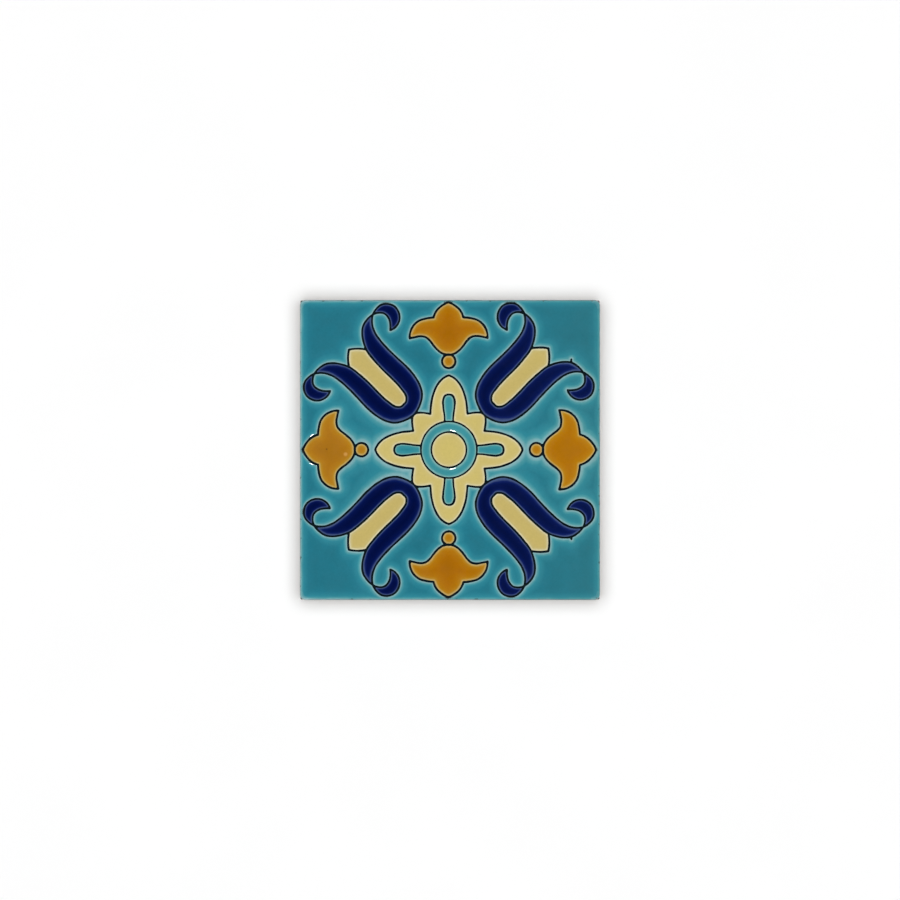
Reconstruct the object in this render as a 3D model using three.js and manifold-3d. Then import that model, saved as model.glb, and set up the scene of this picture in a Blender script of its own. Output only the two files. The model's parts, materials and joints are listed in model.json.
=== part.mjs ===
// A square hand-glazed wall tile, lying on its back with its glazed face up.
// Millimetres, +Z up. The origin is the centre of the back, on the plane that is bedded on the wall.
//
// The tile is one fired piece: a pressed clay biscuit with the glaze melted onto its face. Its shape is
// its section swept across the tile both ways, rounded at the four corners, with shallow keying
// channels in the back for the adhesive. The glazed ornament is colour and fine relief on the face.

import * as THREE from "three";
import { mergeVertices } from "three/addons/utils/BufferGeometryUtils.js";
import Module from "manifold-3d";

// The tile over all.
const SIDE = 100;
const THICKNESS = 8;
const CORNER_RADIUS = 0.4; // of the outline, seen from above

// The glazed arris, where the face rolls over to the side: a quarter of an ellipse.
const ARRIS_REACH = 1.2; // in from the side
const ARRIS_FALL = 0.7; // down from the face

// The side below the arris: an upright land that faces the grout joint, then a draw towards the back.
const LAND_HEIGHT = 4;
const BACK_DRAW = 0.8; // how far each side leans in from the land to the back
const BACK_CHAMFER = 0.4;

// The keying channels in the back. They run along Y, in pairs, with a rib on the centre line.
const CHANNEL_WIDTH = 7;
const CHANNEL_DEPTH = 0.7;
const CHANNEL_CORNER_RADIUS = 2;
const RIB_WIDTH = 4;
const RIM_WIDTH = 6; // the least width of plain back left around the channels

// How far a cutting or trimming solid runs past what it cuts.
const OVERRUN = 2;
// Straight pieces in each arc or ellipse quarter.
const ARC_STEPS = 8;

const GLAZE_COLOUR = 0x2b8793;

const wasm = await Module();
wasm.setup();

// A closed three.js geometry as a manifold solid.
function toSolid(geometry) {
  const bare = geometry.clone();
  bare.deleteAttribute("normal");
  bare.deleteAttribute("uv");
  const merged = mergeVertices(bare);
  return new wasm.Manifold(
    new wasm.Mesh({
      numProp: 3,
      vertProperties: new Float32Array(merged.attributes.position.array),
      triVerts: new Uint32Array(merged.index.array),
    }),
  );
}

// A manifold solid as a three.js geometry.
function toGeometry(solid) {
  const { vertProperties, triVerts } = solid.getMesh();
  const geometry = new THREE.BufferGeometry();
  geometry.setAttribute("position", new THREE.BufferAttribute(vertProperties, 3));
  geometry.setIndex(new THREE.BufferAttribute(triVerts, 1));
  geometry.computeVertexNormals();
  return geometry;
}

function extrude(shape, depth) {
  return new THREE.ExtrudeGeometry(shape, { depth, bevelEnabled: false, curveSegments: ARC_STEPS });
}

// A rectangle centred on the origin, with its four corners rounded.
function roundedRectangle(width, height, radius) {
  const x = width / 2 - radius;
  const y = height / 2 - radius;
  const shape = new THREE.Shape();
  shape.absarc(x, -y, radius, -Math.PI / 2, 0);
  shape.absarc(x, y, radius, 0, Math.PI / 2);
  shape.absarc(-x, y, radius, Math.PI / 2, Math.PI);
  shape.absarc(-x, -y, radius, Math.PI, (3 * Math.PI) / 2);
  return shape;
}

// The tile's section: across is the shape's x, and up is its y.
function sectionShape() {
  const half = SIDE / 2;
  const foot = half - BACK_DRAW;
  const arrisFoot = THICKNESS - ARRIS_FALL;
  const landFoot = arrisFoot - LAND_HEIGHT;
  const faceEdge = half - ARRIS_REACH;

  const shape = new THREE.Shape();
  shape.moveTo(-foot + BACK_CHAMFER, 0);
  shape.lineTo(foot - BACK_CHAMFER, 0);
  shape.lineTo(foot, BACK_CHAMFER);
  shape.lineTo(half, landFoot);
  shape.lineTo(half, arrisFoot);
  shape.absellipse(faceEdge, arrisFoot, ARRIS_REACH, ARRIS_FALL, 0, Math.PI / 2);
  shape.lineTo(-faceEdge, THICKNESS);
  shape.absellipse(-faceEdge, arrisFoot, ARRIS_REACH, ARRIS_FALL, Math.PI / 2, Math.PI);
  shape.lineTo(-half, landFoot);
  shape.lineTo(-foot, BACK_CHAMFER);
  return shape;
}

// The section swept across the whole tile, along Y.
function sweptSection() {
  const length = SIDE + 2 * OVERRUN;
  return extrude(sectionShape(), length)
    .translate(0, 0, -length / 2)
    .rotateX(Math.PI / 2);
}

// The slab: both sweeps of the section, within the outline seen from above.
function slab() {
  const alongY = toSolid(sweptSection());
  const alongX = toSolid(sweptSection().rotateZ(Math.PI / 2));
  const outline = extrude(roundedRectangle(SIDE, SIDE, CORNER_RADIUS), THICKNESS + 2 * OVERRUN);
  return alongY.intersect(alongX).intersect(toSolid(outline.translate(0, 0, -OVERRUN)));
}

// One keying channel as the solid that cuts it, centred at x.
function channelCutter(x, length) {
  const shape = roundedRectangle(CHANNEL_WIDTH, length, CHANNEL_CORNER_RADIUS);
  return toSolid(extrude(shape, CHANNEL_DEPTH + OVERRUN).translate(x, 0, -OVERRUN));
}

// The centres of the channels: as many pairs as leave the rim its least width.
function channelCentres(backWidth) {
  const pitch = CHANNEL_WIDTH + RIB_WIDTH;
  const pairs = Math.floor((backWidth - 2 * RIM_WIDTH + RIB_WIDTH) / (2 * pitch));
  const centres = [];
  for (let i = 0; i < pairs; i++) {
    centres.push((i + 0.5) * pitch, -(i + 0.5) * pitch);
  }
  return centres;
}

function tileGeometry() {
  const backWidth = SIDE - 2 * (BACK_DRAW + BACK_CHAMFER);
  const channelLength = backWidth - 2 * RIM_WIDTH;
  let solid = slab();
  for (const x of channelCentres(backWidth)) {
    solid = solid.subtract(channelCutter(x, channelLength));
  }
  return toGeometry(solid);
}

const glaze = new THREE.MeshStandardMaterial({ color: GLAZE_COLOUR, roughness: 0.12, metalness: 0 });

const tile = new THREE.Mesh(tileGeometry(), glaze);
tile.name = "tile";

const part = new THREE.Group();
part.add(tile);

export default part;
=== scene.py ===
"""A square hand-glazed wall tile: its clay body, the black line drawn on it, and the glazes in between.

The tile lies on its back, glazed face up. One fine sheet is laid out flat, as wide as the face with its
arrises and sides unrolled, and lifted by its distance from the drawn line. Cut level, it falls into the
separate pools of glaze. Each pool is then laid on the tile, where it sinks towards its own rim, and closed.
"""

import json
import math

import bpy
import numpy as np
from bpy.props import FloatProperty, FloatVectorProperty, IntProperty, PointerProperty
from mathutils import Euler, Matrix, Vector, noise
from mathutils.kdtree import KDTree

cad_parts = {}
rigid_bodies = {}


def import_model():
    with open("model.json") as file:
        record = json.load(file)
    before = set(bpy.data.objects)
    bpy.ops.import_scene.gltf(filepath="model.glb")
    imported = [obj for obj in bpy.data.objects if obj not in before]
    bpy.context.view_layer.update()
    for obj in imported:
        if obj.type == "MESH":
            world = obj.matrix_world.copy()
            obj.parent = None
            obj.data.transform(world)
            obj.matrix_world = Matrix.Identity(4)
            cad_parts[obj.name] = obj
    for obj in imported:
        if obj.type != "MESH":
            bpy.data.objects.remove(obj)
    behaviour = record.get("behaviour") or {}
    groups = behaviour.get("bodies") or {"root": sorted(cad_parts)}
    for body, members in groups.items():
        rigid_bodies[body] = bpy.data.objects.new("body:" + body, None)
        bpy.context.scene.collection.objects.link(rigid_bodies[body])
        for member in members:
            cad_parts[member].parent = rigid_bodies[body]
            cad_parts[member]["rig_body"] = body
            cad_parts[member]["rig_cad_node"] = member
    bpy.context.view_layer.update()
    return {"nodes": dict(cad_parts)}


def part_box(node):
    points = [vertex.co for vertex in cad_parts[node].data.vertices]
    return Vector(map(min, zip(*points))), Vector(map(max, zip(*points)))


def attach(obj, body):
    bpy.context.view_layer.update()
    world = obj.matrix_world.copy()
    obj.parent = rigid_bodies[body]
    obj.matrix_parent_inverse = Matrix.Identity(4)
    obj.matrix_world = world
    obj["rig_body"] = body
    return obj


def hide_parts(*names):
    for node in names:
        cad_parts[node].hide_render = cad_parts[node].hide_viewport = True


bl_info = {
    "name": "Hand-glazed wall tile",
    "version": (1, 0, 0),
    "blender": (4, 5, 0),
    "location": "View3D > Sidebar > Wall tile",
    "description": "Builds a square wall tile with its clay body, its drawn line and its glazes",
    "category": "Add Mesh",
}

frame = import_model()

BODY = "root"
NODE = "tile"

# Lengths in the model are in metres. Lengths inside the outline and sheet functions are in millimetres.
MM = 0.001
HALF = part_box(NODE)[1].x / MM
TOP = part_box(NODE)[1].z / MM

# The photograph's frame, for the camera.
PHOTO_PIXELS = 900
TILE_PIXELS = 300

# Sines of the heights in the sky where its brightness changes.
HORIZON_END = math.sin(math.radians(35))
CEILING_START = math.sin(math.radians(55))
CEILING_FULL = math.sin(math.radians(68))

# The small low lamps: the direction of each, in degrees from the right-hand side, and how many times wider
# it is than high.
GLINT_LAMPS = ((102, 1.3), (-102, 1.3), (61, 0.8), (-61, 0.8))

# Outlines of the ornament, in millimetres from its centre. Each is a smooth stroke through its points, in
# the wedge between the upright axis and the diagonal. The rest of the ornament mirrors them.
PALMETTE_TIP = ((0, 48.9), (2.25, 47.75), (4.0, 46.1), (5.0, 43.85))
PALMETTE_LOBE = ((5.0, 43.85), (7.3, 43.6), (10.05, 42.75), (12.2, 40.6), (13.05, 36.95))
PALMETTE_FOOT = (
    (13.05, 36.95), (11.3, 37.35), (9.4, 37.65), (7.6, 37.3), (6.15, 36.05), (5.0, 34.5), (3.3, 32.7),
    (1.7, 31.75), (0, 31.45),
)
PETAL = ((0, 24.65), (1.8, 23.75), (3.7, 21.7), (5.0, 19.0), (5.8, 16.0), (6.1, 13.3), (6.2, 11.85))
SEPAL = ((6.2, 11.85), (7.7, 12.15), (9.7, 12.3), (11.1, 12.1), (11.65, 11.65))
PETAL_SLOT = ((0, 18.3), (1.3, 17.85), (1.9, 16.4), (1.85, 14.0), (1.52, 11.5), (1.4, 9.3))
RIBBON_OUTER = (
    (25.4, 45.0), (25.65, 42.0), (24.7, 39.0), (22.9, 36.35), (20.4, 33.55), (17.2, 30.45), (14.0, 27.45),
    (11.3, 24.2), (9.65, 21.25), (9.0, 18.0), (9.8, 14.7), (11.65, 11.65),
)
RIBBON_INNER = (
    (25.4, 45.0), (27.35, 43.25), (28.65, 41.0), (28.9, 38.6), (28.5, 36.05), (27.5, 33.3), (25.0, 29.9),
    (22.1, 26.7), (18.8, 23.5), (16.05, 20.5), (14.2, 17.25), (14.4, 15.8), (15.1, 15.1),
)
CURL_OUTER = (
    (25.4, 45.0), (24.3, 46.8), (22.7, 48.15), (20.4, 48.5), (18.25, 47.75), (16.85, 45.95), (16.45, 43.55),
    (17.35, 41.35), (19.6, 39.75),
)
CURL_INNER = ((19.6, 39.75), (19.6, 41.7), (20.15, 43.75), (21.55, 45.3), (23.6, 45.6), (25.4, 45.0))
TONGUE_END = ((27.6, 33.4), (30.5, 33.7), (33.4, 33.4))
WEDGE_STROKES = (
    PALMETTE_TIP, PALMETTE_LOBE, PALMETTE_FOOT, PETAL, SEPAL, PETAL_SLOT, RIBBON_OUTER, RIBBON_INNER,
    CURL_OUTER, CURL_INNER, TONGUE_END,
)
BALL_CENTRE = (0, 29.3)
BALL_RADIUS = 2.26
RING_RADIUS = 9.37
DISC_RADIUS = 5.87

# Where the hand strayed most: a place and its reach, then how far the lines went right and up there.
STRAYS = (
    (-21, 44, 5, 0.17, 0.0), (20, 44, 5, 0.0, -0.3), (20, -44, 5, 0.0, 0.25), (-21, -44, 5, 0.2, -0.2),
    (48.6, 0, 3.5, 0.4, 0.0),
)

# Two slips of the brush beside the right-hand ribbons, as short strokes, in millimetres on the tile.
BRUSH_SLIPS = (((40.4, 29.5), (40.45, 30.2)), ((40.4, -29.0), (40.45, -29.7)))

GROUND = "ground_glaze"
LINE = "drawn_line"

# A point inside each pool of the wedge tells which glaze it takes. All other pools are ground.
POOL_POINTS = {
    "palmette_glaze": ((2.0, 40.0), (0.3, 29.3)),
    "ribbon_glaze": ((19.5, 28.5), (18.2, 44.0)),
    "tongue_glaze": ((19.0, 20.5),),
    "rosette_glaze": ((3.5, 17.0), (0.2, 1.0)),
    "ring_glaze": ((0.2, 7.6), (0.2, 14.0)),
}
FOUND_WITHIN = 0.6

# Where the brush left a glaze thinner or thicker: a place, its reach each way in millimetres, and the depth
# there as a share of the usual.
GROUND_PATCHES = (
    (-25, 0, 17, 18, 0.5), (25, -2, 16, 14, 0.62), (47, 0, 6, 12, 0.45), (-4, 38, 24, 11, 1.5),
    (0, -38, 22, 11, 1.4), (-50, 0, 8, 60, 1.7), (25, 2, 11, 9, 0.7), (-14, 8, 6, 4, 0.6),
    (-14, -8, 6, 4, 0.6),
)
RING_PATCHES = (
    (0, 0, 7.5, 7.5, 0.75), (-14, 0, 5, 2.5, 3.2), (14, 0, 5, 2.5, 2.4), (0, 14, 2.5, 5, 1.5),
    (0, -14, 2.5, 5, 1.5),
)
PALMETTE_PATCHES = ((-40, 0, 10, 14, 1.3), (40, 0, 10, 14, 1.4), (0, 29.3, 3, 3, 0.9))
RIBBON_PATCHES = (
    (17, 10.5, 4, 2.5, 0.45), (17, -10.5, 4, 2.5, 0.45), (-17, 10.5, 4, 2.5, 0.6), (-17, -10.5, 4, 2.5, 0.6),
)

# Where a glaze turns to another tone along X: from where to where in millimetres, the tone, and how far.
GROUND_TURNS = ((20, 50, (118, 137, 30), 0.05),)
RIBBON_TURNS = ((-10, 40, (78, 108, 203), 0.02),)
PALMETTE_TURNS = ((-15, -35, (200, 202, 97), 0.06), (15, 35, (255, 192, 35), 0.06))

# Two flaws in the left-hand palmette: the place and the radius of each.
PINHOLE = (-41.1, 0.27, 0.38)
BUBBLE = (-34.8, -1.4, 0.85)

# The ribbons' glaze lies thick beside the tongues and in the curls, and thin at its outer rim.
TONGUE_START = 24.0
RIBBON_DEPTHS = ((4.5, 1.8), (7.5, 1.15))
CURL_CENTRE = (20.5, 44.5)
CURL_RADIUS = 4.8
CURL_DEPTH = 2.0

# How far each glaze keeps off the drawn line, beyond the line's own half width, in millimetres.
KEPT_OFF = {
    GROUND: 0.045, "ring_glaze": 0.04, "ribbon_glaze": 0.015, "rosette_glaze": 0.045, "tongue_glaze": 0.07,
    "palmette_glaze": 0.075,
}

# Where a pool's rim is a steep, even slope that catches a small lamp. The mesh is finer there.
STEEP_RIMS = ((1.1, 6.3), (1.1, -6.1), (-46.2, 4.3), (-46.2, -4.1))
STEEP_REACH = 1.9
STEEP_SLOPE = 0.8
STEEP_WIDTH = 0.5
FINER_WITHIN = 2.2
FINER_CUTS = 2

# How far the drawn line runs on under the glaze on each side, in millimetres, and how much lower it gets
# from its middle outwards.
LINE_UNDER = 0.32
LINE_CROWN = 0.04

# The line is drawn finer near the middle: its width as a share, by the distance from the middle. Its width
# wavers by a share, with hills this far apart.
LINE_PRESSURE = ((10, 0.85), (16, 1.08))
LINE_WAVER = 0.18
LINE_WAVER_LENGTH = 2.5

# The swells in the crown of the glaze, as how high and how far apart, and the share of the ripple that they
# take up.
SWELLS = ((1.0, 14), (0.5, 6))
SWELL_SHARE = 0.6

# The foot of the overrun on the sides: its waves, as how high and how far apart, in millimetres, and then
# its drips, as how long, how far apart, and how high the noise is where one starts.
OVERRUN_WAVES = ((0.5, 11), (0.25, 3))
DRIP_LENGTH = 2.2
DRIP_SPACING = 6
DRIP_START = 0.3

# How deep the glaze is on the arris, in millimetres, as its colour shows it: at the tile's side, how much
# more for each millimetre in, how much more from the tile's middle to its right-hand side, and how much it
# wavers, with hills how far apart.
ARRIS_START = -0.02
ARRIS_DEEPENING = 1.3
# The lean makes the arris darker towards the right-hand side and paler towards the left.
ARRIS_LEAN = 0.24
ARRIS_WAVER = 0.25
ARRIS_WAVER_LENGTH = 5

# The same on the sides: how much more for each millimetre down, what is left at the foot of the glaze, and
# how much more for each millimetre up from there.
SIDE_DEEPENING = 0.9
FOOT_DEPTH = 0.3
FOOT_DEEPENING = 2.0

# Rings of the sheet past the flat of the face: over the arris, and down the side. The lower lip follows the
# overrun by this share.
ARRIS_RINGS = 5
SIDE_RINGS = 6
LIP_RUN = 1.05

# Keeps a divisor from being nothing.
TINY = 1e-9

# The spacing of the points along a drawn line, and how near a cut a point of the sheet is taken as on it.
STROKE_STEP = 0.05
CUT_SNAP = 0.02

# Edges that bend less than this are shaded smooth, on the glazes and on the clay. The clay's sharper edges
# are worn by this much, in millimetres.
GLAZE_SMOOTH = math.radians(40)
CLAY_SMOOTH = math.radians(35)
WORN_EDGE = 0.25


def tone(red, green, blue):
    """A colour as it shows on a screen, from 0 to 255 a channel."""
    return (red / 255, green / 255, blue / 255)


def length_property(name, description, millimetres):
    """A length, given in millimetres and kept in metres."""
    return FloatProperty(
        name=name, description=description, default=millimetres * MM, min=0, unit="LENGTH", precision=5
    )


def colour_property(name, description, red, green, blue):
    """A colour as it shows on a screen."""
    return FloatVectorProperty(
        name=name, description=description, default=tone(red, green, blue), size=3, min=0, max=1,
        subtype="COLOR_GAMMA",
    )


class WallTileSizes(bpy.types.PropertyGroup):
    """Sizes of the clay, the drawn line and the glaze."""

    line_width: length_property("Line width", "Width of the drawn line", 0.59)
    line_depth: length_property("Line depth", "From the crown of the glaze down to the drawn line", 0.34)
    rim_fall: length_property("Rim fall", "From the crown of a pool down to its rim", 0.3)
    rim_reach: length_property("Rim reach", "How far in from its rim a pool is at its full height", 1.35)
    glaze_depth: length_property("Glaze depth", "From the crown of the glaze down to its underside", 0.65)
    clay_depth: length_property("Clay depth", "From the crown of the glaze down to the clay", 0.5)
    skin: length_property("Side skin", "Thickness of the glaze on the sides", 0.15)
    arris_reach: length_property("Arris reach", "How far in from the side the face starts to roll over", 1.2)
    arris_fall: length_property("Arris fall", "How far the face rolls down at the side", 0.7)
    corner_radius: length_property("Corner radius", "Radius of the glaze at the corners, from above", 1.9)
    corner_reach: length_property("Corner reach", "How far in from the side the corners begin to round", 3.5)
    overrun: length_property("Overrun", "How far the glaze runs down the sides, on average", 1.9)
    ripple: length_property("Ripple", "Height of the waves in the glaze", 0.03)
    cell: length_property("Cell", "Spacing of the sheet's points", 0.33)
    seed: IntProperty(name="Seed", description="Sets the hand-made unevenness", default=7, min=0)


class WallTileDrift(bpy.types.PropertyGroup):
    """How the drawn ornament strays from a true square on the tile."""

    shift_x: FloatProperty(
        name="Shift X", description="Right of the tile's centre", default=-0.36 * MM, unit="LENGTH",
        precision=5,
    )
    shift_y: FloatProperty(
        name="Shift Y", description="Above the tile's centre", default=0.09 * MM, unit="LENGTH", precision=5
    )
    widening: FloatProperty(name="Widening", description="Growth along X, as a share", default=-0.0046)
    heightening: FloatProperty(name="Heightening", description="Growth along Y, as a share", default=0.0055)
    splay: FloatProperty(
        name="Splay", description="Growth of Y towards the right, at the corner", default=0.47 * MM,
        unit="LENGTH", precision=5,
    )
    bow: FloatProperty(
        name="Bow", description="Bending of X towards the top and bottom, at the corner", default=-0.2 * MM,
        unit="LENGTH", precision=5,
    )


class TurquoiseColours(bpy.types.PropertyGroup):
    """The ground glaze, from its thin rim to its deep middle."""

    rim: colour_property("Rim", "Thin, at the drawn line", 138, 182, 187)
    near: colour_property("Near", "Just inside the rim", 77, 153, 162)
    body: colour_property("Body", "A few line widths in", 47, 135, 151)
    deep: colour_property("Deep", "In the middle of a pool", 36, 120, 138)


class RingColours(bpy.types.PropertyGroup):
    """The thin turquoise of the ring and the slots in the petals."""

    rim: colour_property("Rim", "Thin, at the drawn line", 132, 184, 181)
    near: colour_property("Near", "Just inside the rim", 68, 149, 157)
    body: colour_property("Body", "A few line widths in", 57, 143, 154)
    deep: colour_property("Deep", "In the middle of a pool", 45, 137, 150)


class CobaltColours(bpy.types.PropertyGroup):
    """The dark blue of the ribbons and their curls."""

    rim: colour_property("Rim", "Thin, at the drawn line", 73, 91, 133)
    near: colour_property("Near", "Just inside the rim", 11, 29, 92)
    body: colour_property("Body", "A few line widths in", 2, 16, 73)
    deep: colour_property("Deep", "In the middle of a pool", 1, 12, 61)


class CreamColours(bpy.types.PropertyGroup):
    """The cream of the rosette and its disc."""

    rim: colour_property("Rim", "Thin, at the drawn line", 222, 213, 170)
    near: colour_property("Near", "Just inside the rim", 206, 190, 124)
    body: colour_property("Body", "A few line widths in", 205, 187, 113)
    deep: colour_property("Deep", "In the middle of a pool", 205, 187, 109)


class TongueColours(bpy.types.PropertyGroup):
    """The cream of the tongues, a little darker than the rosette's."""

    rim: colour_property("Rim", "Thin, at the drawn line", 222, 214, 174)
    near: colour_property("Near", "Just inside the rim", 198, 182, 119)
    body: colour_property("Body", "A few line widths in", 198, 178, 107)
    deep: colour_property("Deep", "In the middle of a pool", 197, 177, 104)


class AmberColours(bpy.types.PropertyGroup):
    """The amber of the palmettes and the balls."""

    rim: colour_property("Rim", "Thin, at the drawn line", 200, 173, 110)
    near: colour_property("Near", "Just inside the rim", 180, 130, 28)
    body: colour_property("Body", "A few line widths in", 177, 116, 9)
    deep: colour_property("Deep", "In the middle of a pool", 171, 106, 1)
    pinhole: colour_property("Pinhole", "A small dark flaw", 118, 76, 20)
    bubble: colour_property("Bubble", "A small pale flaw", 202, 148, 72)


class BareColours(bpy.types.PropertyGroup):
    """What isn't glazed: the drawn line and the clay."""

    line: colour_property("Line", "The drawn line", 6, 19, 24)
    clay: colour_property("Clay", "The fired clay", 140, 126, 110)
    clay_speck: colour_property("Clay speck", "Grains in the clay", 104, 88, 72)
    # Painted shade on the bare clay near its top, where it shows at the corners.
    soiled: colour_property("Painted shade", "Bare clay at the corners", 74, 84, 84)
    # A darker band along the edge of the arris, and small spots of painted shade just inside it.
    chip: colour_property("Edge dark", "Dark spots and rubbed glaze along the arris", 56, 84, 82)


class WallTileStage(bpy.types.PropertyGroup):
    """The floor, the camera and the lights."""

    camera_height: length_property("Camera height", "Camera above the floor", 3000)
    sensor: FloatProperty(
        name="Sensor", description="Width of the camera's sensor, in millimetres", default=36.0
    )
    floor_size: length_property("Floor", "Side of the floor", 6000)
    floor_shade: FloatProperty(name="Floor shade", description="Whiteness of the floor", default=0.965)
    light_height: length_property("Light height", "The overhead softbox above the floor", 4000)
    light_spread: FloatProperty(
        name="Light spread", description="Half the angle that the overhead softbox fills",
        default=math.radians(40), subtype="ANGLE",
    )
    light_power: FloatProperty(
        name="Light power", description="Power of the overhead softbox, in watts", default=260.0, unit="POWER"
    )
    glint_distance: length_property("Glint distance", "From the tile to each small lamp", 2000)
    glint_height: FloatProperty(
        name="Glint height", description="Angle of the small lamps above the floor", default=math.radians(13),
        subtype="ANGLE",
    )
    glint_size: length_property("Glint size", "Height of each small lamp", 500)
    glint_power: FloatProperty(
        name="Glint power", description="Power of a small lamp that is as wide as it is high", default=30.0,
        unit="POWER",
    )
    horizon: FloatProperty(name="Horizon", description="Strength of the light from the sides", default=0.3)
    mid_sky: FloatProperty(name="Mid sky", description="Strength of the light from half-way up", default=0.05)


class WallTileSettings(bpy.types.PropertyGroup):
    """All that a user would change."""

    sizes: PointerProperty(type=WallTileSizes)
    drift: PointerProperty(type=WallTileDrift)
    turquoise: PointerProperty(type=TurquoiseColours)
    ring: PointerProperty(type=RingColours)
    cobalt: PointerProperty(type=CobaltColours)
    cream: PointerProperty(type=CreamColours)
    tongue: PointerProperty(type=TongueColours)
    amber: PointerProperty(type=AmberColours)
    bare: PointerProperty(type=BareColours)
    stage: PointerProperty(type=WallTileStage)


# Outlines


def stroke(points):
    """A smooth curve through the points, as points a small step apart.

    Each stretch is a cubic whose handles point along its neighbours.
    """
    knots = np.array(points, float)
    spans = np.diff(knots, axis=0)
    lengths = np.linalg.norm(spans, axis=1)
    ways = spans / lengths[:, None]
    tangents = np.empty_like(knots)
    tangents[0] = ways[0]
    tangents[-1] = ways[-1]
    inner = ways[:-1] * lengths[1:, None] + ways[1:] * lengths[:-1, None]
    tangents[1:-1] = inner / np.linalg.norm(inner, axis=1)[:, None]
    if len(knots) > 2:
        tangents[0] = 2 * (ways[0] @ tangents[1]) * ways[0] - tangents[1]
        tangents[-1] = 2 * (ways[-1] @ tangents[-2]) * ways[-1] - tangents[-2]
    curve = []
    for start, end, leave, arrive, length in zip(knots, knots[1:], tangents, tangents[1:], lengths):
        t = np.linspace(0, 1, math.ceil(length / STROKE_STEP) + 1)[:, None]
        near = start + leave * length / 3
        far = end - arrive * length / 3
        curve.append(
            (1 - t) ** 3 * start + 3 * (1 - t) ** 2 * t * near + 3 * (1 - t) * t**2 * far + t**3 * end
        )
    return np.concatenate(curve)


def circle(centre, radius):
    """A circle, as points a small step apart."""
    angles = np.linspace(0, 2 * math.pi, math.ceil(2 * math.pi * radius / STROKE_STEP))
    return np.column_stack([centre[0] + radius * np.cos(angles), centre[1] + radius * np.sin(angles)])


def mirrored(points):
    """The points in all eight wedges."""
    both = np.concatenate([points, points[:, ::-1]])
    return np.concatenate([both * (side_x, side_y) for side_x in (1, -1) for side_y in (1, -1)])


def drift_at(x, y, drift):
    """How far the drawing strays at a place, apart from its shift."""
    stray_x = drift.widening * x + drift.bow / MM * (y / HALF) ** 2
    stray_y = drift.heightening * y + drift.splay / MM * x * y / HALF**2
    for place_x, place_y, reach, right, up in STRAYS:
        nearness = np.exp(-((x - place_x) ** 2 + (y - place_y) ** 2) / reach**2)
        stray_x = stray_x + right * nearness
        stray_y = stray_y + up * nearness
    return stray_x, stray_y


def drawn_points(drift):
    """Every line of the ornament as it lies on the tile."""
    wedge = [stroke(points) for points in WEDGE_STROKES]
    wedge.append(circle(BALL_CENTRE, BALL_RADIUS))
    whole = mirrored(np.concatenate(wedge))
    whole = np.concatenate([whole, circle((0, 0), RING_RADIUS), circle((0, 0), DISC_RADIUS)])
    stray_x, stray_y = drift_at(whole[:, 0], whole[:, 1], drift)
    shift = (drift.shift_x / MM, drift.shift_y / MM)
    placed = whole + np.column_stack([stray_x, stray_y]) + shift
    slips = [stroke(points) for points in BRUSH_SLIPS]
    return np.concatenate([placed, *slips])


def in_wedge(x, y, drift):
    """Places on the tile as places in the ornament's wedge."""
    x = x - drift.shift_x / MM
    y = y - drift.shift_y / MM
    stray_x, stray_y = drift_at(x, y, drift)
    x = abs(x - stray_x)
    y = abs(y - stray_y)
    return np.minimum(x, y), np.maximum(x, y)


def distances(points, lines):
    """The distance from each point to the nearest of the lines' points."""
    tree = KDTree(len(lines))
    for i, (x, y) in enumerate(lines):
        tree.insert((x, y, 0), i)
    tree.balance()
    return np.array([tree.find((x, y, 0))[2] for x, y in points])


def waves(x, y, length, seed):
    """Smooth noise from about -1 to 1, with hills this far apart."""
    return np.array([noise.noise(Vector((a / length, b / length, seed))) for a, b in zip(x, y)])


# Depth of the glazes


def patchy(x, y, patches):
    """How deep a glaze lies, as a share of the usual."""
    share = np.ones_like(x)
    for centre_x, centre_y, reach_x, reach_y, depth in patches:
        nearness = np.exp(-(((x - centre_x) / reach_x) ** 2) - ((y - centre_y) / reach_y) ** 2)
        share *= depth**nearness
    return share


def ribbon_share(x, y, drift):
    """How deep the ribbons' glaze lies, as a share of the usual."""
    low, high = in_wedge(x, y, drift)
    along = (low + high) / math.sqrt(2)
    across = (high - low) / math.sqrt(2)
    from_tongue = np.hypot(across, np.maximum(TONGUE_START - along, 0))
    places, depths = zip(*RIBBON_DEPTHS)
    in_curl = np.hypot(low - CURL_CENTRE[0], high - CURL_CENTRE[1]) < CURL_RADIUS
    return np.where(in_curl, CURL_DEPTH, np.interp(from_tongue, places, depths))


# Meshes


def deselect():
    """Leaves object mode with nothing selected."""
    if bpy.context.object and bpy.context.object.mode != "OBJECT":
        bpy.ops.object.mode_set(mode="OBJECT")
    bpy.ops.object.select_all(action="DESELECT")


def pick(*objects):
    """Selects only these, the first of them active."""
    deselect()
    for piece in objects:
        piece.select_set(True)
    bpy.context.view_layer.objects.active = objects[0]


def read_points(piece):
    """The piece's points, one to a row."""
    flat = np.empty(len(piece.data.vertices) * 3, np.float32)
    piece.data.vertices.foreach_get("co", flat)
    return flat.reshape(-1, 3).astype(float)


def write_points(piece, points):
    """Moves the piece's points."""
    piece.data.vertices.foreach_set("co", points.astype(np.float32).ravel())
    piece.data.update()


def store(piece, name, values):
    """Keeps a number for each point, for the material to read."""
    layer = piece.data.attributes.new(name, "FLOAT", "POINT")
    layer.data.foreach_set("value", values.astype(np.float32))


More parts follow.
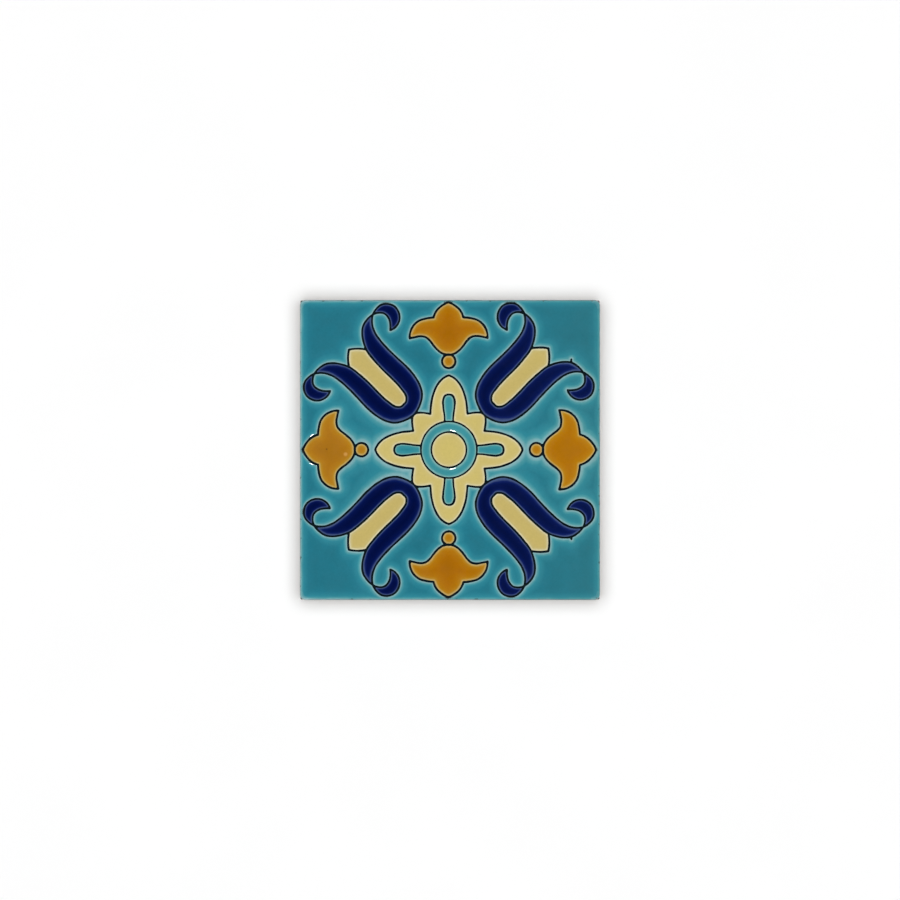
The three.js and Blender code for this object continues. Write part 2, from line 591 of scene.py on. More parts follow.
def ring_profile(sizes):
    """The section of the sheet past the flat of the face, ring by ring.

    Gives how far out each ring lies, its height, and how far it follows the overrun down the side.
    """
    crown = TOP - sizes.ripple / MM
    foot = TOP - sizes.arris_fall / MM
    edge = HALF - sizes.arris_reach / MM
    skin = sizes.skin / MM
    buried = TOP - sizes.glaze_depth / MM - skin
    out = [edge]
    height = [crown]
    run = [0.0]
    for i in range(1, ARRIS_RINGS + 1):
        angle = i / ARRIS_RINGS * math.pi / 2
        out.append(edge + (HALF - edge) * math.sin(angle))
        height.append(foot + (crown - foot) * math.cos(angle))
        run.append(0.0)
    for i in range(1, SIDE_RINGS + 1):
        out.append(HALF)
        height.append(foot)
        run.append(i / SIDE_RINGS)
    out += [HALF - skin / 2, HALF - 2 * skin, HALF - 2 * skin]
    height += [foot, foot, buried]
    run += [LIP_RUN, 1.0, 0.0]
    return np.array(out), np.array(height), np.array(run)


def around_corners(u, v, out, radius):
    """Places on a square ring of the sheet, out from the centre, with the ring's corners rounded."""
    widest = np.maximum(np.maximum(abs(u), abs(v)), TINY)
    along = np.minimum(abs(u), abs(v)) / widest * out
    bend = np.clip((along - (out - radius)) / np.maximum(radius, TINY), 0, 1) * math.pi / 4
    rounded = along > out - radius
    straight = out - radius
    across = np.where(rounded, straight + radius * np.cos(bend), out)
    along = np.where(rounded, straight + radius * np.sin(bend), along)
    x = np.where(abs(u) >= abs(v), across, along) * np.sign(u)
    y = np.where(abs(u) >= abs(v), along, across) * np.sign(v)
    return x, y


def lay(piece, sizes, is_line=False, depth_share=None):
    """Brings a flat cut part of the sheet onto the tile.

    In the flat part, a point's height is its distance in from the pool's rim. A depth share is a function
    of the place, which says how deep the glaze lies there.
    """
    u, v, from_rim = read_points(piece).T
    knots_out, knots_height, knots_run = ring_profile(sizes)
    cell = sheet_cell(sizes)
    edge = knots_out[0]
    widest = np.maximum(abs(u), abs(v))
    ring = np.maximum(widest - edge, 0) / cell
    rings = np.arange(len(knots_out))
    out = np.where(ring > 0, np.interp(ring, rings, knots_out), widest)
    height = np.interp(ring, rings, knots_height)
    run = np.interp(ring, rings, knots_run)

    reach = sizes.corner_reach / MM
    radius = sizes.corner_radius / MM * np.clip((out - HALF + reach) / reach, 0, 1)
    x, y = around_corners(u, v, out, radius)

    # The same place at the side for every point of a column, so that each column runs down by one length.
    side_x = u / widest.clip(1) * HALF
    side_y = v / widest.clip(1) * HALF
    seed = sizes.seed
    overrun = sizes.overrun / MM
    for i, (rise, length) in enumerate(OVERRUN_WAVES):
        overrun += rise * waves(side_x, side_y, length, seed + i)
    overrun += DRIP_LENGTH * np.maximum(waves(side_x, side_y, DRIP_SPACING, seed + 2) - DRIP_START, 0)

    flatness = np.clip(1 - ring, 0, 1)
    swell = sum(rise * waves(x, y, length, seed + 3 + i) for i, (rise, length) in enumerate(SWELLS))
    z = height - overrun * run + flatness * sizes.ripple / MM * SWELL_SHARE * swell.clip(-1, 1)
    if is_line:
        from_middle = np.clip(from_rim / (sizes.line_width / MM) + 0.5, 0, 1)
        z -= flatness * (sizes.line_depth / MM + LINE_CROWN * from_middle**2)
    else:
        steep = np.zeros_like(x)
        for rim_x, rim_y in STEEP_RIMS:
            steep += np.exp(-((np.hypot(x - rim_x, y - rim_y) / STEEP_REACH) ** 4))
        short = 1 - np.clip(from_rim / (sizes.rim_reach / MM), 0, 1)
        rounded = sizes.rim_fall / MM * short**3
        sloping = STEEP_SLOPE * np.maximum(STEEP_WIDTH - from_rim, 0)
        z -= flatness * (rounded + steep * (sloping - rounded))

    if depth_share is not None:
        from_rim = from_rim * depth_share(x, y)

    # On the arris the glaze is as thin as at a rim, and it thickens again on its way down the side.
    inward = HALF - out
    down = TOP - sizes.arris_fall / MM - z
    on_arris = ARRIS_START + ARRIS_DEEPENING * inward + ARRIS_LEAN * x / HALF
    on_arris += ARRIS_WAVER * waves(x, y, ARRIS_WAVER_LENGTH, seed + 5)
    on_side = np.minimum(SIDE_DEEPENING * down, FOOT_DEPTH + FOOT_DEEPENING * overrun * (1 - run))
    depth = np.where(ring > ARRIS_RINGS, on_side, np.minimum(from_rim, on_arris))
    write_points(piece, np.column_stack([x, y, z]) * MM)
    store(piece, "from_rim", np.maximum(depth, 0))
    store(piece, "from_side", inward)


def sheet_cell(sizes):
    """The sheet's spacing, fitted to the flat of the face, in millimetres."""
    edge = HALF - sizes.arris_reach / MM
    return edge / round(edge / (sizes.cell / MM))


def close_below(piece, level, over_sides=False):
    """Closes the piece below at one level.

    All its faces are copied down there. Where the piece hangs over the sides, only its open rims are taken
    down, and filled.
    """
    pick(piece)
    bpy.ops.object.mode_set(mode="EDIT")
    if over_sides:
        bpy.ops.mesh.select_mode(type="EDGE")
        bpy.ops.mesh.select_all(action="DESELECT")
        bpy.ops.mesh.select_non_manifold(
            extend=False, use_wire=False, use_boundary=True, use_multi_face=False, use_non_contiguous=False,
            use_verts=False,
        )
    else:
        bpy.ops.mesh.select_mode(type="FACE")
        bpy.ops.mesh.select_all(action="SELECT")
    bpy.ops.mesh.extrude_region_move()
    bpy.ops.object.mode_set(mode="OBJECT")
    points = read_points(piece)
    lowered = np.empty(len(points), bool)
    piece.data.vertices.foreach_get("select", lowered)
    points[lowered, 2] = level
    write_points(piece, points)
    bpy.ops.object.mode_set(mode="EDIT")
    if over_sides:
        bpy.ops.mesh.fill(use_beauty=False)
    bpy.ops.mesh.select_all(action="SELECT")
    bpy.ops.mesh.normals_make_consistent(inside=False)
    bpy.ops.object.mode_set(mode="OBJECT")
    bpy.ops.object.shade_smooth_by_angle(angle=GLAZE_SMOOTH)


def finish_piece(piece, material):
    """Gives the piece its material and its body."""
    piece.data.materials.clear()
    piece.data.materials.append(material)
    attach(piece, BODY)


# Materials


def linear(colour):
    """A screen colour as the shader takes it."""
    channels = [c / 12.92 if c <= 0.04045 else ((c + 0.055) / 1.055) ** 2.4 for c in colour]
    return (*channels, 1.0)


class Wiring:
    """A new material's node tree, with short ways to add to it."""

    def __init__(self, name):
        self.material = bpy.data.materials.new(name)
        self.material.use_nodes = True
        self.tree = self.material.node_tree
        self.shader = self.tree.nodes["Principled BSDF"]
        place = self.add("ShaderNodeTexCoord")
        self.place = place.outputs["Object"]
        self.axes = None

    def add(self, kind, **values):
        """A new node of this kind, with these settings."""
        node = self.tree.nodes.new(kind)
        for name, value in values.items():
            setattr(node, name, value)
        return node

    def feed(self, socket, value):
        """Links an output to the socket, or sets the socket to a plain value."""
        if isinstance(value, bpy.types.NodeSocket):
            self.tree.links.new(value, socket)
        else:
            socket.default_value = value

    def grain(self, size, detail=2.0, roughness=0.5):
        """Noise with features of about this size in millimetres, from 0 to 1."""
        node = self.add("ShaderNodeTexNoise")
        self.feed(node.inputs["Vector"], self.place)
        node.inputs["Scale"].default_value = 1 / (size * MM)
        node.inputs["Detail"].default_value = detail
        node.inputs["Roughness"].default_value = roughness
        return node.outputs["Fac"]

    def along(self, axis):
        """The place along one axis, in metres."""
        if self.axes is None:
            self.axes = self.add("ShaderNodeSeparateXYZ")
            self.feed(self.axes.inputs[0], self.place)
        return self.axes.outputs[axis]

    def stored(self, name):
        """A number kept on the piece's points."""
        return self.add("ShaderNodeAttribute", attribute_name=name).outputs["Fac"]

    def maths(self, operation, first, second=0.0, third=0.0):
        """A sum worked out on values."""
        node = self.add("ShaderNodeMath", operation=operation)
        for socket, value in zip(node.inputs, (first, second, third)):
            self.feed(socket, value)
        return node.outputs[0]

    def spread(self, value, low, high, to_low=0.0, to_high=1.0):
        """Maps a value from one range to another and stops at the ends."""
        node = self.add("ShaderNodeMapRange", clamp=True)
        for name, setting in zip(
            ("Value", "From Min", "From Max", "To Min", "To Max"), (value, low, high, to_low, to_high)
        ):
            self.feed(node.inputs[name], setting)
        return node.outputs["Result"]

    def ramp(self, value, stops):
        """Colours along a range, from (place, colour) pairs."""
        node = self.add("ShaderNodeValToRGB")
        self.feed(node.inputs["Fac"], value)
        elements = node.color_ramp.elements
        while len(elements) < len(stops):
            elements.new(1.0)
        for element, (position, colour) in zip(elements, stops):
            element.position = position
            element.color = linear(colour)
        return node.outputs["Color"]

    def mix(self, share, first, second, blend="MIX"):
        """One colour into another."""
        node = self.add("ShaderNodeMix", data_type="RGBA", blend_type=blend)
        self.feed(node.inputs["Factor"], share)
        colours = [socket for socket in node.inputs if socket.type == "RGBA"]
        self.feed(colours[0], first)
        self.feed(colours[1], second)
        return [socket for socket in node.outputs if socket.type == "RGBA"][0]

    def near(self, x, y, radius):
        """One at a place of the face, in millimetres, and nothing from this radius on."""
        node = self.add("ShaderNodeVectorMath", operation="DISTANCE")
        self.feed(node.inputs[0], self.place)
        node.inputs[1].default_value = (x * MM, y * MM, TOP * MM)
        return self.spread(node.outputs["Value"], 0.4 * radius * MM, radius * MM, 1, 0)

    def bump(self, height, distance, under=None):
        """Relief from a height, in millimetres."""
        node = self.add("ShaderNodeBump")
        self.feed(node.inputs["Height"], height)
        node.inputs["Distance"].default_value = distance * MM
        node.inputs["Strength"].default_value = 1.0
        if under is not None:
            self.feed(node.inputs["Normal"], under)
        return node.outputs["Normal"]


# Nearly all of a grain lies in this band.
GRAIN_BAND = (0.3, 0.7)

# How far in from its rim a glaze has each of its colours, and the end of the ramp, in millimetres.
RIM_AT = 0.1
NEAR_AT = 0.7
BODY_AT = 1.4
DEEP_AT = 3.4
POOLED_AT = 6.0
RAMP_END = 8.0

# How far the depth of a glaze wavers, in millimetres.
DEPTH_WAVER = 0.35

# At the tile's corners the glaze on the arris is dull. It starts and is full at these distances in from the
# tile's sides, in millimetres.
CORNER_DULLED = (3.6, 2.2)
ARRIS_DULLED = (1.4, 0.8)
DULLNESS = 0.35

# Along the edge of the ground the glaze is darker, more at the far and near ends than at the left and the
# right, and a little further in it has small dark spots of painted shade. Lengths are in millimetres, and
# heights are below the top.
DIMMED_WITHIN = 0.4
DIMMED_AT_SIDES = 0.36
DIMMED_AT_ENDS = 0.9
ENDS_START = 0.5
ENDS_FULL = 0.2
SPOT_SIZE = 1.6
SPOT_CUT = (0.64, 0.68)
SPOTTED_WITHIN = (0.45, 0.6)
SPOT_SHARE = 0.85
DARKENING_STOPS = (0.9, 0.7)

# Heights between which the bare clay turns to painted shade, in millimetres. The shade shows where the clay's
# top peeks out at the corners.
PAINTED_SHADE_FROM = (6.6, 7.2)


def glaze_material(name, colours, cloud=0.06, pooled=0.9, turns=(), finish=None):
    """A glossy glaze over a pale body, paler where it is thin.

    Where it has pooled thick it has a share of the deep colour's brightness. Turns are where it turns to
    another tone. Finish, a function, has the last say on the colour.
    """
    wiring = Wiring(name)
    depth = wiring.maths("MULTIPLY_ADD", wiring.grain(2.2), DEPTH_WAVER, wiring.stored("from_rim"))
    depth = wiring.maths("SUBTRACT", depth, DEPTH_WAVER / 2)
    along_ramp = wiring.maths("DIVIDE", depth, RAMP_END)
    stops = (
        (RIM_AT / RAMP_END, colours.rim),
        (NEAR_AT / RAMP_END, colours.near),
        (BODY_AT / RAMP_END, colours.body),
        (DEEP_AT / RAMP_END, colours.deep),
        (POOLED_AT / RAMP_END, [pooled * channel for channel in colours.deep]),
    )
    colour = wiring.ramp(along_ramp, stops)
    clouds = wiring.spread(wiring.grain(9, detail=4, roughness=0.6), *GRAIN_BAND, 1 - cloud, 1 + cloud)
    specks = wiring.spread(wiring.grain(0.7, detail=3), *GRAIN_BAND, 0.97, 1.03)
    brightness = wiring.maths("MULTIPLY", clouds, specks)
    colour = wiring.mix(1.0, colour, brightness, "MULTIPLY")
    for start, end, turned, most in turns:
        how_far = wiring.spread(wiring.along("X"), start * MM, end * MM, 0, most)
        colour = wiring.mix(how_far, colour, linear(tone(*turned)))
    if finish:
        colour = finish(wiring, colour)
    wiring.feed(wiring.shader.inputs["Base Color"], colour)
    both_ways = wiring.maths(
        "MINIMUM", wiring.maths("ABSOLUTE", wiring.along("X")), wiring.maths("ABSOLUTE", wiring.along("Y"))
    )
    at_corner = wiring.spread(both_ways, (HALF - CORNER_DULLED[0]) * MM, (HALF - CORNER_DULLED[1]) * MM)
    on_arris = wiring.spread(wiring.stored("from_side"), ARRIS_DULLED[1], ARRIS_DULLED[0], DULLNESS, 0)
    dulled = wiring.maths("MULTIPLY", at_corner, on_arris)
    gloss = wiring.spread(wiring.grain(3), *GRAIN_BAND, 0.06, 0.12)
    wiring.feed(wiring.shader.inputs["Roughness"], wiring.maths("ADD", gloss, dulled))
    skin = wiring.bump(wiring.grain(1.6), 0.004)
    wiring.feed(wiring.shader.inputs["Normal"], wiring.bump(wiring.grain(6), 0.012, under=skin))
    return wiring


def line_material(bare):
    """The drawn line: a dull black that the glazes keep off."""
    wiring = Wiring("Drawn line")
    grain = wiring.spread(wiring.grain(0.4, detail=3), *GRAIN_BAND, 0.7, 1.5)
    base = wiring.mix(1.0, linear(bare.line), grain, "MULTIPLY")
    wiring.feed(wiring.shader.inputs["Base Color"], base)
    wiring.shader.inputs["Roughness"].default_value = 0.85
    wiring.shader.inputs["Specular IOR Level"].default_value = 0.05
    wiring.feed(wiring.shader.inputs["Normal"], wiring.bump(wiring.grain(0.25, detail=4), 0.02))
    return wiring


def clay_material(bare):
    """Dry fired clay, with grains and clouds, and painted shade near its top beside the glaze."""
    wiring = Wiring("Fired clay")
    clay = linear(bare.clay)
    grains = wiring.spread(wiring.grain(0.35, detail=4, roughness=0.7), 0.52, 0.66)
    colour = wiring.mix(grains, clay, linear(bare.clay_speck))
    clouds = wiring.spread(wiring.grain(14, detail=5, roughness=0.6), *GRAIN_BAND, 0.88, 1.06)
    colour = wiring.mix(1.0, colour, clouds, "MULTIPLY")
    # Painted shade: the clay turns dark near its top, where it shows at the tile's corners.
    how_shaded = wiring.spread(wiring.stored("height"), *PAINTED_SHADE_FROM)
    colour = wiring.mix(how_shaded, colour, linear(bare.soiled))
    wiring.feed(wiring.shader.inputs["Base Color"], colour)
    wiring.shader.inputs["Roughness"].default_value = 0.85
    fine = wiring.bump(wiring.grain(0.3, detail=5, roughness=0.7), 0.05)
    wiring.feed(wiring.shader.inputs["Normal"], wiring.bump(wiring.grain(2.5, detail=3), 0.12, under=fine))
    return wiring


# Pieces


class WALLTILE_OT_stage(bpy.types.Operator):
    """Set out the floor, the camera and the lights"""

    bl_idname = "walltile.stage"
    bl_label = "Stage"

    def execute(self, context):
        stage = context.scene.wall_tile.stage
        deselect()
        bpy.ops.mesh.primitive_plane_add(size=stage.floor_size)
        floor = context.object
        floor.name = "floor"
        wiring = Wiring("Pale floor")
        clouds = wiring.grain(40, detail=3)
        shade = wiring.spread(clouds, *GRAIN_BAND, stage.floor_shade, 1.01 * stage.floor_shade)
        wiring.feed(wiring.shader.inputs["Base Color"], shade)
        wiring.shader.inputs["Roughness"].default_value = 0.9
        wiring.shader.inputs["Specular IOR Level"].default_value = 0.0
        floor.data.materials.append(wiring.material)

        # The camera looks straight down, and the tile's sides, at the foot of its arris, span their pixels.
        bpy.ops.object.camera_add(location=(0, 0, stage.camera_height), rotation=(0, 0, 0))
        camera = context.object
        level = (TOP - context.scene.wall_tile.sizes.arris_fall / MM) * MM
        spread = 2 * HALF * MM / (stage.camera_height - level)
        camera.data.sensor_width = stage.sensor
        camera.data.lens = stage.sensor * TILE_PIXELS / PHOTO_PIXELS / spread
        camera.data.clip_end = 2 * stage.camera_height
        context.scene.camera = camera

        # The overhead softbox stays out of the glaze, as a polarised lamp does.
        bpy.ops.object.light_add(type="AREA", location=(0, 0, stage.light_height))
        softbox = context.object
        softbox.name = "overhead_softbox"
        softbox.data.shape = "DISK"
        softbox.data.size = 2 * stage.light_height * math.tan(stage.light_spread)
        softbox.data.energy = stage.light_power
        softbox.visible_glossy = False

        # Small low lamps that, from above, only the steepest rims of the glaze catch.
        for azimuth, widening in GLINT_LAMPS:
            away = Vector((stage.glint_distance, 0, 0))
            away.rotate(Euler((0, -stage.glint_height, math.radians(azimuth))))
            facing = away.to_track_quat("Z", "Y").to_euler()
            bpy.ops.object.light_add(type="AREA", location=away, rotation=facing)
            lamp = context.object
            lamp.name = "glint_lamp"
            lamp.data.shape = "ELLIPSE"
            lamp.data.size = stage.glint_size * widening
            lamp.data.size_y = stage.glint_size
            lamp.data.energy = stage.glint_power * widening
            lamp.visible_diffuse = False
            lamp.visible_camera = False

        # Light from all round, which darkens towards the zenith.
        world = bpy.data.worlds.new("Surround")
        world.use_nodes = True
        nodes = world.node_tree.nodes
        links = world.node_tree.links
        way = nodes.new("ShaderNodeTexCoord")
        parts = nodes.new("ShaderNodeSeparateXYZ")
        links.new(way.outputs["Generated"], parts.inputs[0])
        sky = nodes.new("ShaderNodeValToRGB")
        links.new(parts.outputs["Z"], sky.inputs["Fac"])
        elements = sky.color_ramp.elements
        elements.new(0.5)
        elements.new(0.5)
        steps = (
            (0.0, stage.horizon), (HORIZON_END, stage.mid_sky), (CEILING_START, stage.mid_sky),
            (CEILING_FULL, 0.0),
        )
        for element, (rise, strength) in zip(elements, steps):
            element.position = rise
            element.color = (strength, strength, strength, 1.0)
        links.new(sky.outputs["Color"], nodes["Background"].inputs["Color"])
        nodes["Background"].inputs["Strength"].default_value = 1.0
        context.scene.world = world
        context.scene.view_settings.view_transform = "Standard"
        return {"FINISHED"}


class WALLTILE_OT_clay_body(bpy.types.Operator):
    """Copy the tile's solid and draw it in, to leave room for the glaze"""

    bl_idname = "walltile.clay_body"
    bl_label = "Clay body"

    def execute(self, context):
        settings = context.scene.wall_tile
        pick(frame["nodes"][NODE])
        bpy.ops.object.duplicate()
        clay = context.object
        clay.name = "clay_biscuit"
        bpy.ops.object.mode_set(mode="EDIT")
        bpy.ops.mesh.select_all(action="SELECT")
        bpy.ops.mesh.remove_doubles(threshold=0.001 * MM)
        bpy.ops.mesh.dissolve_limited(angle_limit=math.radians(1))
        inner = 1 - settings.sizes.skin / MM / HALF
        lower = 1 - settings.sizes.clay_depth / MM / TOP
        bpy.ops.transform.resize(value=(inner, inner, lower), center_override=(0, 0, 0))
        bpy.ops.object.mode_set(mode="OBJECT")
        bevel = clay.modifiers.new("Worn edges", "BEVEL")
        bevel.width = WORN_EDGE * MM
        bevel.segments = 3
        bevel.limit_method = "ANGLE"
        bevel.angle_limit = CLAY_SMOOTH
        bpy.ops.object.modifier_apply(modifier=bevel.name)
        bpy.ops.object.shade_smooth_by_angle(angle=CLAY_SMOOTH)
        store(clay, "height", read_points(clay)[:, 2] / MM)
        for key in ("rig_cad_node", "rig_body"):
            if key in clay:
                del clay[key]
        clay.parent = None
        finish_piece(clay, clay_material(settings.bare).material)
        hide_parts(NODE)
        return {"FINISHED"}


class WALLTILE_OT_cut_sheet(bpy.types.Operator):
    """Lay out the glaze sheet, cut it along the drawn line and sort its parts by glaze"""

    bl_idname = "walltile.cut_sheet"
    bl_label = "Cut the sheet"

    def execute(self, context):
        settings = context.scene.wall_tile
        sizes = settings.sizes
        deselect()
        cell = sheet_cell(sizes)
        edge = HALF - sizes.arris_reach / MM
        rings = round(edge / cell) + len(ring_profile(sizes)[0]) - 1
        cells = 2 * rings
        bpy.ops.mesh.primitive_grid_add(x_subdivisions=cells, y_subdivisions=cells, size=cells * cell)
        sheet = context.object
        points = read_points(sheet)
        x, y = points[:, 0], points[:, 1]
        places, shares = zip(*LINE_PRESSURE)
        pressure = np.interp(np.hypot(x, y), places, shares)
        waver = LINE_WAVER * waves(x, y, LINE_WAVER_LENGTH, sizes.seed + 6)
        half_width = sizes.line_width / MM / 2 * pressure * (1 + waver)
        points[:, 2] = distances(points[:, :2], drawn_points(settings.drift)) - half_width
        write_points(sheet, points)

        pick(sheet)
        bpy.ops.object.duplicate()
        line = context.object
        line.name = LINE
        bpy.ops.object.mode_set(mode="EDIT")
        bpy.ops.mesh.select_all(action="SELECT")
        bpy.ops.mesh.bisect(
            plane_co=(0, 0, LINE_UNDER), plane_no=(0, 0, 1), clear_outer=True, threshold=CUT_SNAP
        )

        pick(sheet)
        bpy.ops.object.mode_set(mode="EDIT")
        bpy.ops.mesh.select_all(action="SELECT")
        bpy.ops.mesh.bisect(plane_co=(0, 0, 0), plane_no=(0, 0, 1), clear_inner=True, threshold=CUT_SNAP)
        bpy.ops.mesh.separate(type="LOOSE")
        bpy.ops.object.mode_set(mode="OBJECT")
        sorted_parts = {name: [] for name in (*POOL_POINTS, GROUND)}
        for part in list(context.selected_objects):
            sorted_parts[self.glaze_of(part, settings.drift)].append(part)
        for name, parts in sorted_parts.items():
            if not parts:
                raise RuntimeError(f"the drawn line leaves no pool for {name}")
            pick(*parts)
            bpy.ops.object.join()
            context.object.name = name
            context.object.data.name = name
            self.keep_off(context.object, KEPT_OFF[name])
            self.refine(context.object)
        return {"FINISHED"}

    def keep_off(self, pools, gap):
        """Cuts the pools back from the line by a gap, and sets their heights from there."""
        bpy.ops.object.mode_set(mode="EDIT")
        bpy.ops.mesh.select_all(action="SELECT")
        bpy.ops.mesh.bisect(plane_co=(0, 0, gap), plane_no=(0, 0, 1), clear_inner=True, threshold=CUT_SNAP)
        bpy.ops.object.mode_set(mode="OBJECT")
        points = read_points(pools)
        points[:, 2] -= gap
        write_points(pools, points)

    def refine(self, pools):
        """Splits the faces more finely at the steep rims."""
        bpy.ops.object.mode_set(mode="EDIT")
        bpy.ops.mesh.select_mode(type="FACE")
        bpy.ops.mesh.select_all(action="DESELECT")
        bpy.ops.object.mode_set(mode="OBJECT")
        faces = pools.data.polygons
        centres = np.empty(len(faces) * 3, np.float32)
        faces.foreach_get("center", centres)
        x, y, _ = centres.reshape(-1, 3).T
        chosen = np.zeros(len(faces), bool)
        for rim_x, rim_y in STEEP_RIMS:
            chosen |= np.hypot(x - rim_x, y - rim_y) < FINER_WITHIN
        faces.foreach_set("select", chosen)
        bpy.ops.object.mode_set(mode="EDIT")
        bpy.ops.mesh.subdivide(number_cuts=FINER_CUTS)
        bpy.ops.object.mode_set(mode="OBJECT")

    def glaze_of(self, part, drift):
        """The glaze of a pool, by the point of the wedge that lies in it."""
        points = read_points(part)
        x, y = in_wedge(points[:, 0], points[:, 1], drift)
        for name, places in POOL_POINTS.items():
            for place in places:
                if np.hypot(x - place[0], y - place[1]).min() < FOUND_WITHIN:
                    return name
        return GROUND


class WALLTILE_OT_drawn_line(bpy.types.Operator):
    """Lay the drawn line between the pools"""

    bl_idname = "walltile.drawn_line"
    bl_label = "Drawn line"

    def execute(self, context):
        settings = context.scene.wall_tile
        line = bpy.data.objects[LINE]
        lay(line, settings.sizes, is_line=True)
        close_below(line, TOP * MM - settings.sizes.glaze_depth)
        finish_piece(line, line_material(settings.bare).material)
        return {"FINISHED"}


def glaze_pools(context, name, wiring, depth_share=None):
    """Lays the pools of one glaze, closes them and finishes them."""
    sizes = context.scene.wall_tile.sizes
    pools = bpy.data.objects[name]
    lay(pools, sizes, depth_share=depth_share)
    close_below(pools, TOP * MM - sizes.glaze_depth, over_sides=name == GROUND)
    finish_piece(pools, wiring.material)


class WALLTILE_OT_ground_glaze(bpy.types.Operator):
    """Lay the turquoise ground, over the arrises and down the sides"""

    bl_idname = "walltile.ground_glaze"
    bl_label = "Ground glaze"

    def execute(self, context):
        settings = context.scene.wall_tile

        def darkened_edge(wiring, colour):
            """A darker band along the very edge of the arris, and small dark spots of painted shade just
            inside it.
            """
            # A darker band along the very edge of the arris, more at the far and near ends.
            outmost = wiring.spread(wiring.stored("from_side"), 0.0, DIMMED_WITHIN, 1, 0)
            to_end = wiring.maths("ABSOLUTE", wiring.along("Y"))
            start, full = (HALF - ENDS_START) * MM, (HALF - ENDS_FULL) * MM
            how_dimmed = wiring.spread(to_end, start, full, DIMMED_AT_SIDES, DIMMED_AT_ENDS)
            dimmed = wiring.maths("MULTIPLY", outmost, how_dimmed)
            # Small dark spots of painted shade just inside the edge.
            dark_spots = wiring.spread(wiring.grain(SPOT_SIZE, detail=1), *SPOT_CUT)
            on_edge = wiring.spread(wiring.stored("from_side"), *SPOTTED_WITHIN, SPOT_SHARE, 0)
            low, high = [(TOP - fall) * MM for fall in DARKENING_STOPS]
            above = wiring.spread(wiring.along("Z"), low, high)
            darkened = wiring.maths("MAXIMUM", dimmed, wiring.maths("MULTIPLY", dark_spots, on_edge))
            return wiring.mix(wiring.maths("MULTIPLY", darkened, above), colour, linear(settings.bare.chip))

        wiring = glaze_material(
            "Turquoise ground", settings.turquoise, pooled=0.965, turns=GROUND_TURNS, finish=darkened_edge
        )
        glaze_pools(context, GROUND, wiring, lambda x, y: patchy(x, y, GROUND_PATCHES))
        return {"FINISHED"}


class WALLTILE_OT_ring_glaze(bpy.types.Operator):
    """Lay the turquoise ring and the slots in the petals"""

    bl_idname = "walltile.ring_glaze"
    bl_label = "Ring glaze"

    def execute(self, context):
        wiring = glaze_material("Turquoise ring", context.scene.wall_tile.ring)
        glaze_pools(context, "ring_glaze", wiring, lambda x, y: patchy(x, y, RING_PATCHES))
        return {"FINISHED"}


class WALLTILE_OT_ribbon_glaze(bpy.types.Operator):
    """Lay the cobalt ribbons and their curls"""

    bl_idname = "walltile.ribbon_glaze"
    bl_label = "Ribbon glaze"

    def execute(self, context):
        settings = context.scene.wall_tile
        wiring = glaze_material("Cobalt", settings.cobalt, pooled=0.85, turns=RIBBON_TURNS)
        glaze_pools(
            context, "ribbon_glaze", wiring,
            lambda x, y: ribbon_share(x, y, settings.drift) * patchy(x, y, RIBBON_PATCHES),
        )
        return {"FINISHED"}


class WALLTILE_OT_rosette_glaze(bpy.types.Operator):
    """Lay the cream petals and the disc at their middle"""

    bl_idname = "walltile.rosette_glaze"
    bl_label = "Rosette glaze"

    def execute(self, context):
        wiring = glaze_material("Cream", context.scene.wall_tile.cream, cloud=0.02, pooled=1.0)
        glaze_pools(context, "rosette_glaze", wiring)
        return {"FINISHED"}


class WALLTILE_OT_tongue_glaze(bpy.types.Operator):
    """Lay the cream tongues between the ribbons"""

    bl_idname = "walltile.tongue_glaze"
    bl_label = "Tongue glaze"

    def execute(self, context):
        wiring = glaze_material("Cream tongues", context.scene.wall_tile.tongue, cloud=0.02, pooled=1.0)
        glaze_pools(context, "tongue_glaze", wiring)
        return {"FINISHED"}


class WALLTILE_OT_palmette_glaze(bpy.types.Operator):
    """Lay the amber palmettes and the balls under them"""

    bl_idname = "walltile.palmette_glaze"
    bl_label = "Palmette glaze"

    def execute(self, context):
        amber = context.scene.wall_tile.amber

        def flawed(wiring, colour):
            """A pinhole and a burst bubble in the left-hand palmette."""
            colour = wiring.mix(wiring.near(*PINHOLE), colour, linear(amber.pinhole))
            return wiring.mix(wiring.near(*BUBBLE), colour, linear(amber.bubble))

        wiring = glaze_material("Amber", amber, cloud=0.04, pooled=0.97, turns=PALMETTE_TURNS, finish=flawed)
        glaze_pools(
            context, "palmette_glaze", wiring, lambda x, y: patchy(x, y, PALMETTE_PATCHES)
        )
        return {"FINISHED"}


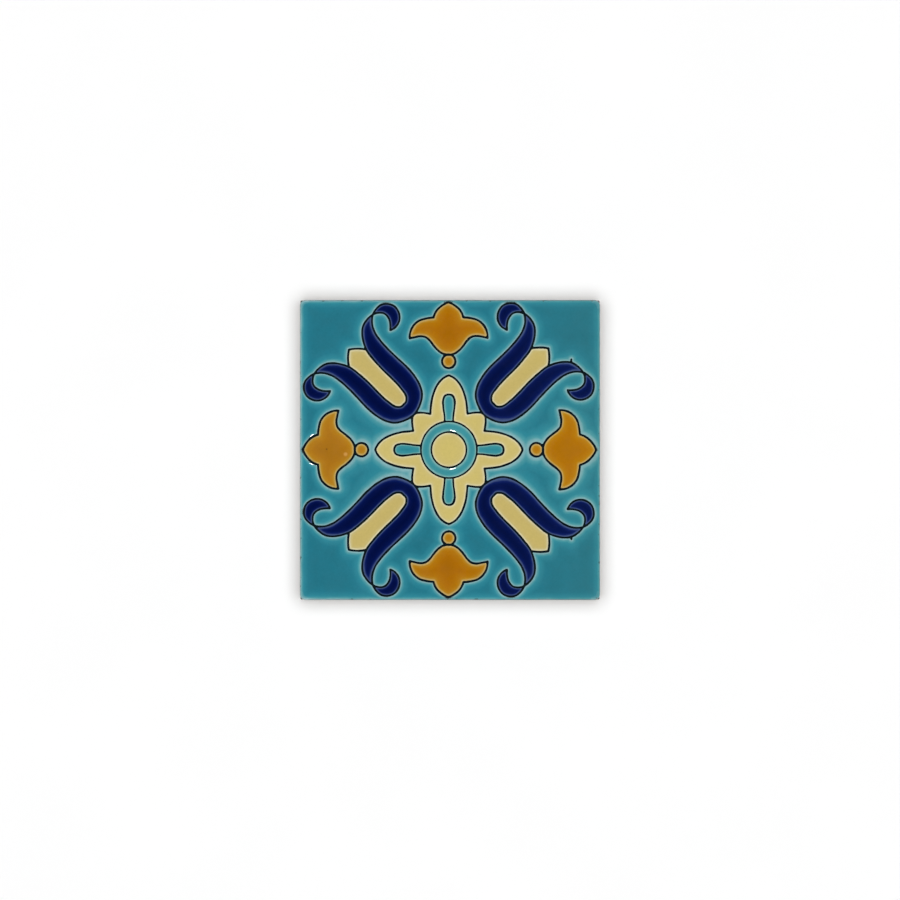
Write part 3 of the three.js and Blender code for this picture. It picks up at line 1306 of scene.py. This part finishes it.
OPERATORS = (
    WALLTILE_OT_stage,
    WALLTILE_OT_clay_body,
    WALLTILE_OT_cut_sheet,
    WALLTILE_OT_drawn_line,
    WALLTILE_OT_ground_glaze,
    WALLTILE_OT_ring_glaze,
    WALLTILE_OT_ribbon_glaze,
    WALLTILE_OT_rosette_glaze,
    WALLTILE_OT_tongue_glaze,
    WALLTILE_OT_palmette_glaze,
)


class WALLTILE_PT_panel(bpy.types.Panel):
    """The tile's sizes and colours, and its pieces in the order of making"""

    bl_label = "Wall tile"
    bl_idname = "WALLTILE_PT_panel"
    bl_space_type = "VIEW_3D"
    bl_region_type = "UI"
    bl_category = "Wall tile"

    def draw(self, context):
        settings = context.scene.wall_tile
        for group in settings.bl_rna.properties:
            if group.type != "POINTER" or group.identifier == "rna_type":
                continue
            box = self.layout.box()
            box.label(text=group.identifier.capitalize())
            values = getattr(settings, group.identifier)
            for value in values.bl_rna.properties:
                if value.identifier not in ("rna_type", "name"):
                    box.prop(values, value.identifier)
        for operator in OPERATORS:
            self.layout.operator(operator.bl_idname)


CLASSES = (
    WallTileSizes,
    WallTileDrift,
    TurquoiseColours,
    RingColours,
    CobaltColours,
    CreamColours,
    TongueColours,
    AmberColours,
    BareColours,
    WallTileStage,
    WallTileSettings,
    *OPERATORS,
    WALLTILE_PT_panel,
)


def register():
    """Adds the classes and the settings."""
    for item in CLASSES:
        bpy.utils.register_class(item)
    bpy.types.Scene.wall_tile = PointerProperty(type=WallTileSettings)


def unregister():
    """Takes the settings and the classes away again."""
    del bpy.types.Scene.wall_tile
    for item in reversed(CLASSES):
        bpy.utils.unregister_class(item)


def main():
    """Makes the tile and its stage."""
    register()
    bpy.ops.walltile.stage()
    bpy.ops.walltile.clay_body()
    bpy.ops.walltile.cut_sheet()
    bpy.ops.walltile.drawn_line()
    bpy.ops.walltile.ground_glaze()
    bpy.ops.walltile.ring_glaze()
    bpy.ops.walltile.ribbon_glaze()
    bpy.ops.walltile.rosette_glaze()
    bpy.ops.walltile.tongue_glaze()
    bpy.ops.walltile.palmette_glaze()


if __name__ == "__main__":
    main()
